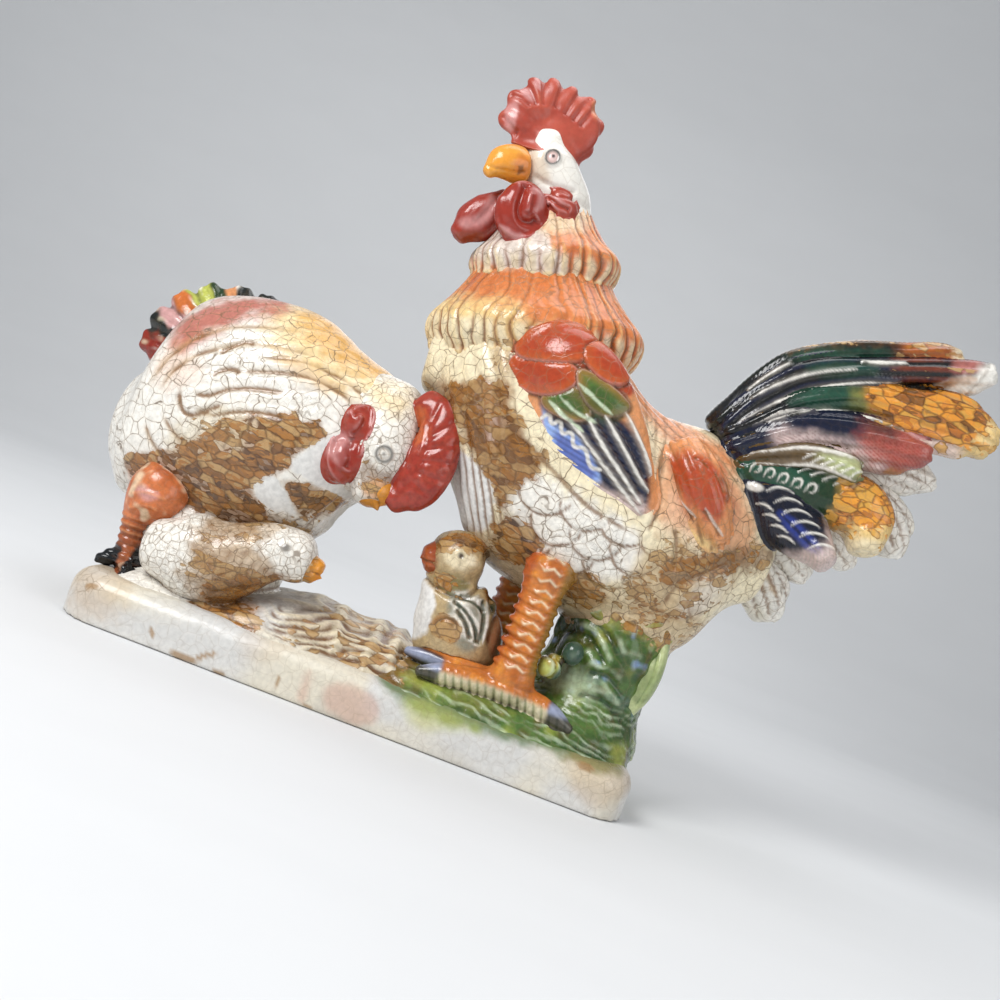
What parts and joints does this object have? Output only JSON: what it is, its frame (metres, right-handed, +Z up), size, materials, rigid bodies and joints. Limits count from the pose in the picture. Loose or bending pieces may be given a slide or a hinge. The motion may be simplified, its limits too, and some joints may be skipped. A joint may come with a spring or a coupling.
{
  "type": "glazed poultry figure group",
  "caption": "Crackle-glazed figure group: a tall rooster, a hen pecking with her head down and two chicks on one oblong base.",
  "frame": {"origin": "centre of the plinth's flat underside, in the plane it stands on", "axes": "+X along the plinth towards the rooster's tail, +Y away from the viewed side, +Z up"},
  "size_m": [0.3679, 0.1038, 0.2791],
  "materials": {
    "glaze_white": "glossy crackle glaze over a white body",
    "glaze_cream": "glossy crackle glaze with brown stain",
    "glaze_gold": "glossy crackle glaze, golden yellow",
    "glaze_orange": "glossy crackle glaze, orange",
    "glaze_red": "thick glossy red glaze",
    "glaze_amber": "glossy amber glaze with brown flakes",
    "glaze_green": "glossy green glaze, pooled in the hollows",
    "glaze_dark": "glossy near-black blue and green glaze",
    "glaze_brown": "glossy brown stained glaze",
    "bare_white": "matte white body with patches of glaze"
  },
  "bodies": {
    "root": {"grass_mound": "glaze_green", "hen_beak": "glaze_orange", "hen_body": "glaze_white", "hen_comb": "glaze_red", "hen_earlobe": "glaze_red", "hen_foot_far": "glaze_dark", "hen_foot_near": "glaze_dark", "hen_head": "glaze_white", "hen_leg_far": "glaze_orange", "hen_leg_near": "glaze_orange", "hen_seat": "glaze_brown", "hen_tail_feather_1": "glaze_dark", "hen_tail_feather_2": "glaze_dark", "hen_tail_feather_3": "glaze_dark", "hen_tail_feather_4": "glaze_dark", "hen_tail_feather_5": "glaze_dark", "hen_tail_feather_6": "glaze_dark", "hen_tail_feather_7": "glaze_dark", "hen_wattle": "glaze_red", "left_chick": "glaze_white", "left_chick_beak": "glaze_orange", "plinth": "glaze_white", "right_chick_beak": "glaze_orange", "right_chick_body": "glaze_white", "right_chick_head": "glaze_brown", "rock_mound": "bare_white", "rooster_beak": "glaze_orange", "rooster_body": "glaze_cream", "rooster_comb": "glaze_red", "rooster_earlobe": "glaze_red", "rooster_foot_far": "glaze_orange", "rooster_foot_near": "glaze_orange", "rooster_hackle_lower": "glaze_orange", "rooster_hackle_upper": "glaze_orange", "rooster_head": "glaze_white", "rooster_leg_far": "glaze_orange", "rooster_leg_near": "glaze_orange", "rooster_saddle_far": "glaze_orange", "rooster_saddle_near": "glaze_orange", "rooster_wattle_far": "glaze_red", "rooster_wattle_near": "glaze_red", "rooster_wing_far": "glaze_red", "rooster_wing_near": "glaze_red", "stump": "glaze_green", "stump_buds": "glaze_green", "stump_leaf": "glaze_green", "tail_covert": "glaze_dark", "tail_far_covert": "glaze_cream", "tail_far_lobe": "glaze_cream", "tail_far_middle": "glaze_cream", "tail_far_round": "glaze_cream", "tail_far_short": "glaze_cream", "tail_far_upper": "glaze_cream", "tail_plume_blue": "glaze_dark", "tail_plume_gold": "glaze_amber", "tail_plume_round": "glaze_gold", "tail_plume_slim": "glaze_green", "tail_sickle_second": "glaze_dark", "tail_sickle_top": "glaze_dark"}
  },
  "joints": []
}
